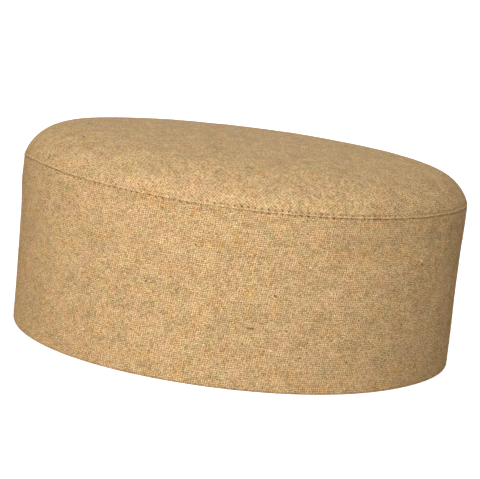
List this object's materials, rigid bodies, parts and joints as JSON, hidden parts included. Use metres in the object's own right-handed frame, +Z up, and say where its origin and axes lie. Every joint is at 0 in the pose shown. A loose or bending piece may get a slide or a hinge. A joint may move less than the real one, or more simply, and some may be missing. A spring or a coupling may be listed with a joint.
{
  "type": "kufi cap",
  "caption": "Plain brimless kufi cap of thick tweed cloth, with an upright side band and a low domed crown lapped over it at a stitched seam.",
  "frame": {"origin": "centre of the rim on the plane it stands on", "axes": "+Z up through the crown, -Y the front that faces the viewer, +X to the viewer's right"},
  "size_m": [0.1909, 0.1908, 0.0889],
  "materials": {
    "band_cloth": "matt plain-weave wool tweed",
    "crown_cloth": "matt plain-weave wool tweed"
  },
  "bodies": {
    "root": {"side_band": "band_cloth", "crown": "crown_cloth"}
  },
  "joints": []
}
